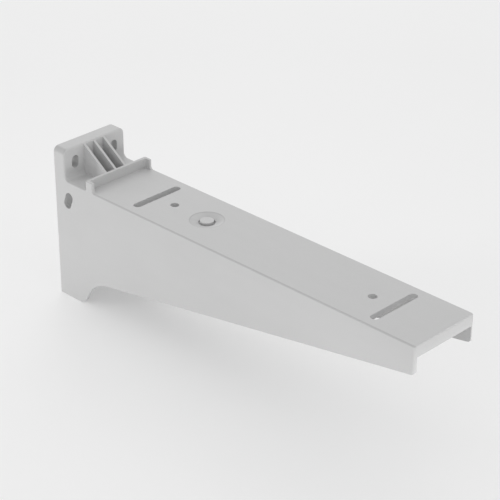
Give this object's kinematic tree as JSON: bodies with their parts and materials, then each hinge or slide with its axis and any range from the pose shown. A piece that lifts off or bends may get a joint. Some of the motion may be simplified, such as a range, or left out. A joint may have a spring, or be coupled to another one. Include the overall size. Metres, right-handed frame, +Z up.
{
  "type": "cable tray support arm",
  "caption": "Moulded cantilever arm that bolts to a wall and carries a cable tray on its flat top; a tapering channel open below, with a stop lip at the wall end.",
  "frame": {"origin": "on the wall face, midway between the centres of the two wall slots", "axes": "+X out from the wall along the arm, +Y across it, +Z up"},
  "size_m": [0.353, 0.06, 0.1244],
  "materials": {
    "body": "matt light grey, fine moulded grain"
  },
  "bodies": {
    "root": {"support_arm": "body"}
  },
  "joints": []
}
